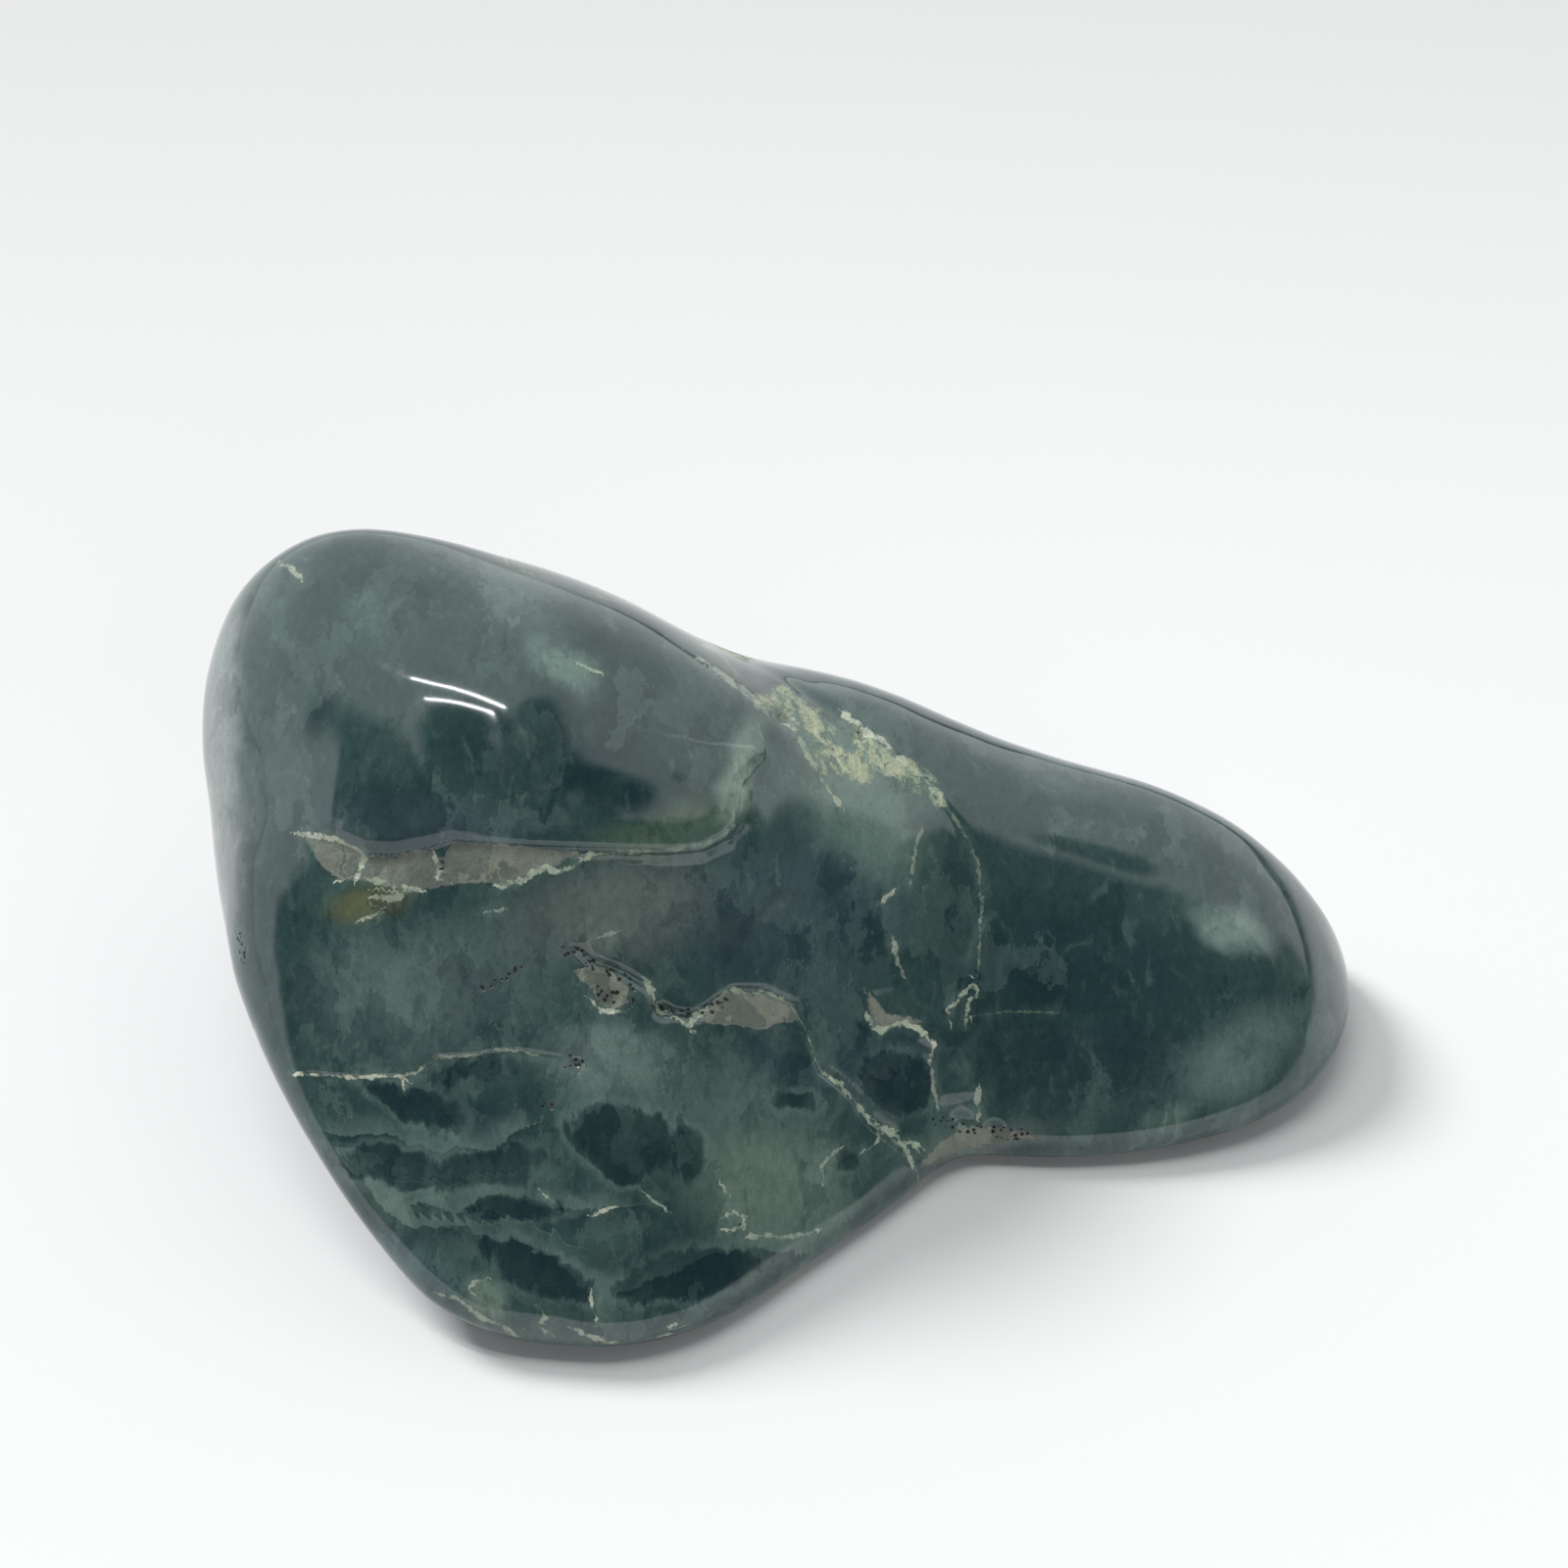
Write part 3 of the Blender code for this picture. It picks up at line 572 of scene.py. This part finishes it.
# the finish. Colours are 0-255. A pair of bounds says where a mask is nothing and where it is
# full, and where a second pair follows, what it then runs between. Gaps are in millimetres of
# the sheet, and fray is how far noise pulls an edge about
jade = {
    "colours": {
        "body": (52, 76, 74),
        "deep": (23, 42, 48),
        "pale": (114, 136, 128),
        "plate": (128, 132, 118),
        "plateStain": (96, 104, 96),
        "rindCream": (182, 190, 160),
        "rindWhite": (218, 221, 198),
        "rindSage": (116, 138, 124),
        "bruiseAndGlint": (214, 219, 198),
        "bruiseAndGlintGreen": (168, 182, 160),
        "pit": (16, 15, 14),
    },
    "wander": ((5.0, 0.9), (1.6, 0.35)),    # how soft edges stray: size and amount
    "seed": 7,                              # and which way, the same each run
    "cloudEdge": (0.35, 1.45),              # a cloud is full within the first, gone at the second
    "farRind": {
        "halfWidth": 2.6,                   # of the strip on the far side of the saddle
        "foot": 22.0,                       # height below which it narrows
        "narrowing": 0.4,
    },
    "drawn": dict(turn=(0.5, 0.3, 0.3), scale=(1.0, 0.62, 0.58)),   # the way streaks lie
    "torn": dict(scale=190, reach=0.011, detail=5.0, rough=0.68),   # tears the streaks up
    "noises": {                             # drawn on, scale, detail, roughness, swirl
        "drift": ("plain", 70, 6, 0.62, 0.5),
        "veil": ("drawn", 300, 5, 0.64, 1.0),
        "brush": ("drawn", 1300, 3, 0.6, 0.0),
        "crumb": ("plain", 1100, 3, 0.6, 0.0),
        "grain": ("plain", 3200, 2, 0.5, 0.0),
        "slow": ("torn", 24, 3, 0.55, 0.0),
        "flake": ("torn", 260, 4, 0.6, 0.4),
        "patchy": ("plain", 620, 3, 0.7, 0.0),
    },
    "patches": {"large": 120, "small": 330},
    "bodyTints": (                          # by which noise, bounds, strength, colour
        ("drift", 0.46, 0.30, 0.40, "deep"),
        ("drift", 0.52, 0.72, 0.26, "pale"),
        ("veil", 0.47, 0.28, 0.40, "deep"),
        ("veil", 0.54, 0.74, 0.24, "pale"),
        ("large", 0.35, 0.0, 0.30, "deep"),
        ("large", 0.70, 1.0, 0.16, "pale"),
        ("small", 0.35, 0.0, 0.30, "deep"),
        ("small", 0.70, 1.0, 0.16, "pale"),
    ),
    "farTints": (                           # the same, on the far side alone
        ("slow", 0.52, 0.38, 0.6, "deep"),
        ("slow", 0.54, 0.68, 0.4, "pale"),
    ),
    "farVeins": dict(scale=46.0, thin=(0.022, 0.004), broken=(0.46, 0.60, 0.0, 0.75)),
    "wave": {                               # scalloped edges: pale above, dark below
        "fray": 0.8,
        "near": (5.0, 1.5),
        "edge": 0.06,
        "paleSide": (3.4, 0.1),
        "paleBroken": (0.3, 0.7, 0.1, 0.6),
        "darkSide": (-2.8, -0.1),
        "darkStrength": 0.45,
    },
    "cell": {                               # dark inside, with a pale outline
        "fray": 0.9,
        "inside": (0.3, -0.5),
        "insideBroken": (0.0, 1.0, 0.75, 0.5),
        "outline": (1.1, 0.25),
        "outlineStart": (-0.15, 0.15),
        "outlineBroken": (0.0, 1.0, 0.05, 0.35),
    },
    "dullPlate": dict(fray=0.3, edge=(0.08, -0.12), stained=(0.3, 0.8), strength=0.85, rough=0.8),
    "crust": {                              # rind: sage, flaking to cream and white
        "veilFray": 1.1,
        "crumbFray": 0.5,
        "edge": (0.5, -0.5),
        "flaking": (0.34, 0.50, 0.25, 0.9),
        "cream": (0.44, 0.56),
        "white": (0.58, 0.68),
    },
    # bruised lines, and among them painted highlights
    "line": {                               # bruised lines
        "fray": (0.16, 0.25, 0.75),         # how far, by which bounds of the noise
        "widening": (0.38, 0.64, 0.0, 1.15),
        "edge": (0.14, -0.06),
        "reach": (1.1, 0.8),
        "broken": (0.34, 0.62, 0.2, 0.95),
        "halo": (1.3, 0.2),
        "haloBroken": (0.35, 0.65, 0.0, 0.35),
        "whitened": (0.2, 0.8),
        "rough": 0.8,
    },
    "hole": dict(scale=1500.0, inside=(0.42, 0.30), edge=(0.15, -0.1), deep=2.0),
    "grainShade": (0.25, 0.75, -0.10, 0.10),    # the two add up to what scales the colour
    "brushShade": (0.25, 0.75, 0.84, 1.16),
    "polish": (0.3, 0.7, 0.055, 0.095),     # roughness of the polish, uneven with the drift
    "dull": 0.7,
    "bump": dict(crumbs=(0.3, 0.7, 0.0, 1.0), strength=0.6, metres=0.0003),
    "ior": 1.6,
}


def paintBoulder(stone, points, u, v, facing):
    noise.seed_set(jade["seed"])
    hidden = (1 - facing) * sheet["hidden"]
    drift = sum(wander(points, size, amount) for size, amount in jade["wander"])
    driftU, driftV = u + drift[:, 0], v + drift[:, 2]

    colour = np.tile(linearColour(jade["colours"]["body"]), (len(u), 1))
    for *oval, levels, strength in clouds.values():
        soft = 1 - ease(ovalReach(driftU, driftV, oval), *jade["cloudEdge"])
        amount = (soft * strength * facing)[:, None]
        colour = colour * (1 - amount) + linearColour(levels) * amount

    paths, widths, tones = zip(*bruiseAndGlints.values())
    bruiseAndGlintSide, which = nearestOf(u, v, paths)
    waveSide, _ = nearestOf(driftU, driftV, waves.values())
    trails = [np.abs(pathDistance(u, v, path)[0]) - width for path, width in pitTrails.values()]
    cellGaps = [(ovalReach(driftU, driftV, cell) - 1) * min(cell[2:4]) for cell in cells.values()]
    plateGaps = [outlineDistance(u, v, outline) for outline in plates.values()]
    rindGaps = [outlineDistance(u, v, outline) for outline in rind.values()]

    # the rind runs on over the saddle and down the far side
    strip = jade["farRind"]
    crease = np.abs(trimmedLobes(points, "high") - trimmedLobes(points, "right"))
    farGap = crease - strip["halfWidth"]
    farGap += np.maximum(strip["foot"] - points[:, 2], 0) * strip["narrowing"]
    farGap += facing * sheet["hidden"]

    layers = {
        "bruiseAndGlintSide": bruiseAndGlintSide,
        "bruiseAndGlintGap": np.abs(bruiseAndGlintSide) + hidden,
        "bruiseAndGlintWidth": np.array(widths)[which],
        "bruiseAndGlintTone": np.array(tones)[which] * facing,
        "waveSide": waveSide,
        "waveGap": np.abs(waveSide) + hidden,
        "cellGap": np.min(cellGaps, axis=0) + hidden,
        "plateGap": np.min(plateGaps, axis=0) + hidden,
        "rindGap": np.minimum(np.min(rindGaps, axis=0) + hidden, farGap),
        "farSide": 1 - facing,
        "pitGap": np.min(trails, axis=0) + hidden,
    }
    mesh = stone.data
    for name, values in layers.items():
        layer = mesh.attributes.new(name, "FLOAT", "POINT")
        layer.data.foreach_set("value", values.astype(np.float32))
    layer = mesh.attributes.new("cloud", "FLOAT_COLOR", "POINT")
    opaque = np.hstack((colour, np.ones((len(u), 1))))
    layer.data.foreach_set("color", opaque.ravel().astype(np.float32))
    print("painted layers:", ", ".join(layers))


def rgba(name):
    return (*linearColour(jade["colours"][name]), 1.0)


def place(tree, kind, inputs, **settings):
    node = tree.nodes.new(kind)
    for name, value in settings.items():
        setattr(node, name, value)
    for name, value in inputs.items():
        if isinstance(value, bpy.types.NodeSocket):
            tree.links.new(value, node.inputs[name])
        else:
            node.inputs[name].default_value = value
    return node


def figure(tree, operation, a, b=0.0):
    return place(tree, "ShaderNodeMath", {0: a, 1: b}, operation=operation).outputs[0]


def product(tree, mask, *others):
    for other in others:
        mask = figure(tree, "MULTIPLY", mask, other)
    return mask


def ramp(tree, value, fromMin, fromMax, toMin=0.0, toMax=1.0, smooth=True):
    bounds = {"From Min": fromMin, "From Max": fromMax, "To Min": toMin, "To Max": toMax}
    return place(tree, "ShaderNodeMapRange", {"Value": value, **bounds},
                 interpolation_type="SMOOTHSTEP" if smooth else "LINEAR").outputs["Result"]


def blend(tree, factor, a, b):
    return place(tree, "ShaderNodeMix", {0: factor, 6: a, 7: b}, data_type="RGBA").outputs[2]


def tint(tree, colour, mask, name):
    return blend(tree, mask, colour, rgba(name))


def layerValue(tree, name, output="Fac"):
    return place(tree, "ShaderNodeAttribute", {}, attribute_name=name).outputs[output]


def speckle(tree, coords, scale, detail, rough, swirl):
    return place(tree, "ShaderNodeTexNoise", {"Vector": coords, "Scale": scale, "Detail": detail,
                                              "Roughness": rough, "Distortion": swirl})


def tearUp(tree, coords, scale, reach, detail, rough):
    pull = speckle(tree, coords, scale, detail, rough, 0.0).outputs["Color"]
    return place(tree, "ShaderNodeVectorMath", {0: pull, 1: (reach, reach, reach), 2: coords},
                 operation="MULTIPLY_ADD").outputs[0]


def patchValue(tree, coords, scale):
    patch = place(tree, "ShaderNodeTexVoronoi", {"Vector": coords, "Scale": scale})
    return place(tree, "ShaderNodeSeparateXYZ", {0: patch.outputs["Color"]}).outputs["X"]


def fray(tree, noiseValue, amount, low=0.2, high=0.8):
    return ramp(tree, noiseValue, low, high, -amount, amount, smooth=False)


def makeNoises(tree):
    coords = tree.nodes.new("ShaderNodeTexCoord").outputs["Object"]
    drawn = place(tree, "ShaderNodeMapping", {"Vector": coords, "Rotation": jade["drawn"]["turn"],
                                              "Scale": jade["drawn"]["scale"]}).outputs[0]
    grounds = {"plain": coords, "drawn": drawn, "torn": tearUp(tree, drawn, **jade["torn"])}
    values = {name: speckle(tree, grounds[ground], *look).outputs["Fac"]
              for name, (ground, *look) in jade["noises"].items()}
    for name, scale in jade["patches"].items():
        values[name] = patchValue(tree, grounds["torn"], scale)
    return {**grounds, **values}


# clouded, deeper and paler by turns; the far side has slow clouds and thin veins of its own
def bodyColour(tree, noises):
    colour = layerValue(tree, "cloud", "Color")
    for source, start, full, strength, name in jade["bodyTints"]:
        colour = tint(tree, colour, ramp(tree, noises[source], start, full, 0, strength), name)
    farSide = layerValue(tree, "farSide")
    for source, start, full, strength, name in jade["farTints"]:
        mask = product(tree, farSide, ramp(tree, noises[source], start, full, 0, strength))
        colour = tint(tree, colour, mask, name)
    veins = jade["farVeins"]
    edges = place(tree, "ShaderNodeTexVoronoi", {"Vector": noises["torn"], "Scale": veins["scale"]},
                  feature="DISTANCE_TO_EDGE").outputs["Distance"]
    vein = product(tree, ramp(tree, edges, *veins["thin"]),
                   ramp(tree, noises["drift"], *veins["broken"]), farSide)
    return tint(tree, colour, vein, "bruiseAndGlintGreen")


def addWaves(tree, noises, colour):
    wave = jade["wave"]
    side = figure(tree, "ADD", layerValue(tree, "waveSide"),
                  fray(tree, noises["veil"], wave["fray"]))
    near = ramp(tree, layerValue(tree, "waveGap"), *wave["near"])
    above = product(tree, ramp(tree, side, *wave["paleSide"]),
                    ramp(tree, side, -wave["edge"], wave["edge"]),
                    ramp(tree, noises["drift"], *wave["paleBroken"], smooth=False), near)
    below = product(tree, ramp(tree, side, *wave["darkSide"]),
                    ramp(tree, side, wave["edge"], -wave["edge"]), near, wave["darkStrength"])
    return tint(tree, tint(tree, colour, above, "pale"), below, "deep")


def addCells(tree, noises, colour):
    cell = jade["cell"]
    gap = figure(tree, "ADD", layerValue(tree, "cellGap"),
                 fray(tree, noises["veil"], cell["fray"]))
    inside = product(tree, ramp(tree, gap, *cell["inside"]),
                     ramp(tree, noises["small"], *cell["insideBroken"], smooth=False))
    outline = product(tree, ramp(tree, gap, *cell["outline"]),
                      ramp(tree, gap, *cell["outlineStart"]),
                      ramp(tree, noises["large"], *cell["outlineBroken"], smooth=False))
    return tint(tree, tint(tree, colour, inside, "deep"), outline, "pale")


def addPlates(tree, noises, colour):
    plate = jade["dullPlate"]
    gap = figure(tree, "ADD", layerValue(tree, "plateGap"),
                 fray(tree, noises["crumb"], plate["fray"]))
    onPlate = ramp(tree, gap, *plate["edge"])
    stained = ramp(tree, noises["small"], *plate["stained"])
    plateColour = blend(tree, stained, rgba("plateStain"), rgba("plate"))
    return blend(tree, product(tree, onPlate, plate["strength"]), colour, plateColour), onPlate


def addRind(tree, noises, colour):
    crust = jade["crust"]
    ragged = figure(tree, "ADD", fray(tree, noises["veil"], crust["veilFray"]),
                    fray(tree, noises["crumb"], crust["crumbFray"]))
    gap = figure(tree, "ADD", layerValue(tree, "rindGap"), ragged)
    flake = noises["flake"]
    onRind = product(tree, ramp(tree, gap, *crust["edge"]), ramp(tree, flake, *crust["flaking"]))
    creamed = ramp(tree, flake, *crust["cream"])
    rindColour = blend(tree, creamed, rgba("rindSage"), rgba("rindCream"))
    rindColour = tint(tree, rindColour, ramp(tree, flake, *crust["white"]), "rindWhite")
    return blend(tree, onRind, colour, rindColour), onRind


# bruised lines and painted highlights, broken up along their length, in a faint halo
def addBruisesAndGlints(tree, noises, colour):
    line = jade["line"]
    side = figure(tree, "ADD", layerValue(tree, "bruiseAndGlintSide"),
                  fray(tree, noises["crumb"], *line["fray"]))
    width = product(tree, layerValue(tree, "bruiseAndGlintWidth"),
                    ramp(tree, noises["patchy"], *line["widening"]))
    outside = figure(tree, "SUBTRACT", figure(tree, "ABSOLUTE", side), width)
    gap, tone = layerValue(tree, "bruiseAndGlintGap"), layerValue(tree, "bruiseAndGlintTone")
    onLine = product(tree, ramp(tree, outside, *line["edge"]), ramp(tree, gap, *line["reach"]),
                     tone, ramp(tree, noises["patchy"], *line["broken"]))
    halo = product(tree, ramp(tree, gap, *line["halo"]), tone,
                   ramp(tree, noises["veil"], *line["haloBroken"]))
    whitened = ramp(tree, noises["large"], *line["whitened"])
    lineColour = blend(tree, whitened, rgba("bruiseAndGlintGreen"), rgba("bruiseAndGlint"))
    return blend(tree, onLine, tint(tree, colour, halo, "pale"), lineColour), onLine


def addPits(tree, noises, colour):
    hole = jade["hole"]
    dots = place(tree, "ShaderNodeTexVoronoi", {"Vector": noises["plain"], "Scale": hole["scale"]})
    inPit = product(tree, ramp(tree, dots.outputs["Distance"], *hole["inside"]),
                    ramp(tree, layerValue(tree, "pitGap"), *hole["edge"]))
    return tint(tree, colour, inPit, "pit"), inPit


# fine grain over everything
def addGrain(tree, noises, colour):
    shade = figure(tree, "ADD", ramp(tree, noises["grain"], *jade["grainShade"], smooth=False),
                   ramp(tree, noises["brush"], *jade["brushShade"], smooth=False))
    return place(tree, "ShaderNodeVectorMath", {0: colour, "Scale": shade},
                 operation="SCALE").outputs[0]


def makeJade():
    material = bpy.data.materials.new("polishedJade")
    material.use_nodes = True
    tree = material.node_tree
    shader = tree.nodes["Principled BSDF"]
    noises = makeNoises(tree)
    colour = addCells(tree, noises, addWaves(tree, noises, bodyColour(tree, noises)))
    colour, onPlate = addPlates(tree, noises, colour)
    colour, onRind = addRind(tree, noises, colour)
    colour, onLine = addBruisesAndGlints(tree, noises, colour)
    colour, inPit = addPits(tree, noises, colour)
    tree.links.new(addGrain(tree, noises, colour), shader.inputs["Base Color"])

    # polished, but dull on plates, rind and lines and in the pits
    rough = product(tree, onPlate, jade["dullPlate"]["rough"])
    for mask in (onRind, product(tree, onLine, jade["line"]["rough"]), inPit):
        rough = figure(tree, "MAXIMUM", rough, mask)
    polish = ramp(tree, noises["drift"], *jade["polish"], smooth=False)
    tree.links.new(ramp(tree, rough, 0, 1, polish, jade["dull"], smooth=False),
                   shader.inputs["Roughness"])

    crumbs = ramp(tree, noises["crumb"], *jade["bump"]["crumbs"], smooth=False)
    height = figure(tree, "SUBTRACT", product(tree, rough, crumbs),
                    product(tree, inPit, jade["hole"]["deep"]))
    bump = place(tree, "ShaderNodeBump", {"Height": height, "Strength": jade["bump"]["strength"],
                                          "Distance": jade["bump"]["metres"]})
    tree.links.new(bump.outputs["Normal"], shader.inputs["Normal"])
    shader.inputs["IOR"].default_value = jade["ior"]
    print("jade mixed:", len(tree.nodes), "nodes")
    return material


stone, points, u, v, facing, shift = makeBoulder()
paintBoulder(stone, points, u, v, facing)
stone.data.materials.append(makeJade())
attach(stone, "root")
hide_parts("jade_boulder")


# metres, watts and degrees
studio = {
    "paperNear": (0.86, 0.865, 0.87, 1),
    # painted shade: the paper greys towards the back
    "paperFarShade": (0.76, 0.76, 0.76, 1),
    "paperShadeFade": (0.02, 0.42),              # how far back it greys
    # painted shade, seen only in the polish
    "paperMirroredShade": (0.12, 0.3, 0, 0.9),   # in the polish the paper darkens to the right
    "paperSide": 6.0,
    "paperGrid": 8,
    "paperRough": 0.9,
    "paperShine": 0.1,
    "roomColour": (0.97, 1.0, 1.0, 1),
    "roomStrength": 1.15,
    "shadeColour": (0.03, 0.035, 0.04, 1),
    "shadeTowards": (0.16, -0.97, 0.2),     # the unlit side of the room, mirrored as a dark patch
    "shadeWide": 0.5,                       # below 1 spreads it sideways
    "shadeReach": (49, 58),                 # angle round it, full and gone
    "darkThings": {                         # smaller dark things: towards, full and gone
        "highBoard": ((-0.15, -0.5, 0.85), 20, 26),
        "highSpot": ((0.34, -0.21, 0.92), 5, 10),
        "middleSpot": ((0.13, -0.38, 0.915), 8, 14),
        "leftBoard": ((-0.72, -0.42, 0.55), 13, 22),
        "lowRight": ((0.97, -0.22, 0.0), 17, 28),
    },
    "seenColour": (0.93, 0.94, 0.95, 1),    # the room as the camera itself sees it
    "roomOnMatt": 0.42,                     # the share of its light left for matt surfaces
    "tubeWidth": 0.016,
    "tubeHeight": 1.2,
    "tubePower": 2.8,                       # for each metre of tube
    "tubes": {                              # x, y, length, turn
        "backTube": (-0.23, -0.03, 0.82, -25),
        "frontTube": (-0.25, -0.183, 0.64, -15),
    },
    "keyFrom": (-0.6, 0.36, 0.74),          # broad light from the left and behind
    "keySpread": 18.0,
    "keyPower": 2.1,                        # a sun's, for each square metre
    "fillFrom": (0.55, -0.95, 0.42),
    "fillSize": 0.9,
    "fillPower": 4.0,
    "lens": dict(lens=60, sensor_width=36, clip_start=0.01),    # the first two in millimetres
}


def makePaper():
    mesh = bpy.data.meshes.new("palePaper")
    sweep = bmesh.new()
    grid = studio["paperGrid"]
    bmesh.ops.create_grid(sweep, x_segments=grid, y_segments=grid, size=studio["paperSide"] / 2)
    sweep.to_mesh(mesh)
    sweep.free()
    paper = bpy.data.objects.new("palePaper", mesh)
    bpy.context.scene.collection.objects.link(paper)
    material = bpy.data.materials.new("palePaper")
    material.use_nodes = True
    tree = material.node_tree
    shader = tree.nodes["Principled BSDF"]
    coords = tree.nodes.new("ShaderNodeTexCoord").outputs["Object"]
    spot = place(tree, "ShaderNodeSeparateXYZ", {0: coords}).outputs
    # painted shade: the paper greys from near to far
    colour = blend(tree, ramp(tree, spot["Y"], *studio["paperShadeFade"]),
                   studio["paperNear"], studio["paperFarShade"])
    path = tree.nodes.new("ShaderNodeLightPath")
    # painted shade: in what the polish mirrors, the paper turns dark to the right
    mirrored = product(tree, path.outputs["Is Glossy Ray"],
                       ramp(tree, spot["X"], *studio["paperMirroredShade"]))
    colour = blend(tree, mirrored, colour, studio["shadeColour"])
    tree.links.new(colour, shader.inputs["Base Color"])
    shader.inputs["Roughness"].default_value = studio["paperRough"]
    shader.inputs["Specular IOR Level"].default_value = studio["paperShine"]
    mesh.materials.append(material)


def darkCone(tree, around, direction, full, gone):
    towards = place(tree, "ShaderNodeVectorMath",
                    {0: around, 1: Vector(direction).normalized()}, operation="DOT_PRODUCT")
    edge = (math.cos(math.radians(angle)) for angle in (gone, full))
    return ramp(tree, towards.outputs["Value"], *edge)


def makeRoomLight():
    world = bpy.data.worlds.new("paleRoom")
    world.use_nodes = True
    bpy.context.scene.world = world
    tree = world.node_tree
    background = tree.nodes["Background"]
    around = tree.nodes.new("ShaderNodeTexCoord").outputs["Generated"]
    spread = place(tree, "ShaderNodeVectorMath", {0: around, 1: (studio["shadeWide"], 1, 1)},
                   operation="MULTIPLY").outputs[0]
    spread = place(tree, "ShaderNodeVectorMath", {0: spread}, operation="NORMALIZE").outputs[0]
    shade = darkCone(tree, spread, studio["shadeTowards"], *studio["shadeReach"])
    for thing in studio["darkThings"].values():
        shade = figure(tree, "MAXIMUM", shade, darkCone(tree, around, *thing))
    room = blend(tree, shade, studio["roomColour"], studio["shadeColour"])
    path = tree.nodes.new("ShaderNodeLightPath").outputs
    room = blend(tree, path["Is Camera Ray"], room, studio["seenColour"])
    tree.links.new(room, background.inputs["Color"])
    strength = studio["roomStrength"]
    onMatt = ramp(tree, path["Is Diffuse Ray"], 0, 1, strength, strength * studio["roomOnMatt"],
                  smooth=False)
    tree.links.new(onMatt, background.inputs["Strength"])


def makeTubes():
    for name, (x, y, length, turn) in studio["tubes"].items():
        lamp = bpy.data.lights.new(name, "AREA")
        lamp.shape = "RECTANGLE"
        lamp.size = length
        lamp.size_y = studio["tubeWidth"]
        lamp.energy = studio["tubePower"] * length
        tube = bpy.data.objects.new(name, lamp)
        tube.location = (x, y, studio["tubeHeight"])
        tube.rotation_euler = (0, 0, math.radians(turn))
        bpy.context.scene.collection.objects.link(tube)


def makeSoftLamp(name, kind):
    lamp = bpy.data.lights.new(name, kind)
    lamp.energy = studio[name + "Power"]
    if kind == "SUN":
        lamp.angle = math.radians(studio[name + "Spread"])
    else:
        lamp.size = studio[name + "Size"]
    soft = bpy.data.objects.new(name, lamp)
    soft.location = studio[name + "From"]
    soft.rotation_euler = soft.location.to_track_quat("Z", "Y").to_euler()
    soft.visible_glossy = False
    bpy.context.scene.collection.objects.link(soft)


def makeCamera():
    lens = bpy.data.cameras.new("standCamera")
    for name, value in studio["lens"].items():
        setattr(lens, name, value)
    camera = bpy.data.objects.new("standCamera", lens)
    camera.location = (np.array(sheet["sight"]) + shift) * mm
    camera.rotation_euler = (math.radians(90 - sheet["tilt"]), 0, 0)
    bpy.context.scene.collection.objects.link(camera)
    bpy.context.scene.camera = camera


makePaper()
makeRoomLight()
makeTubes()
makeSoftLamp("key", "SUN")
makeSoftLamp("fill", "AREA")
makeCamera()
bpy.context.scene.view_settings.view_transform = "Standard"
print("paper, light and camera placed")
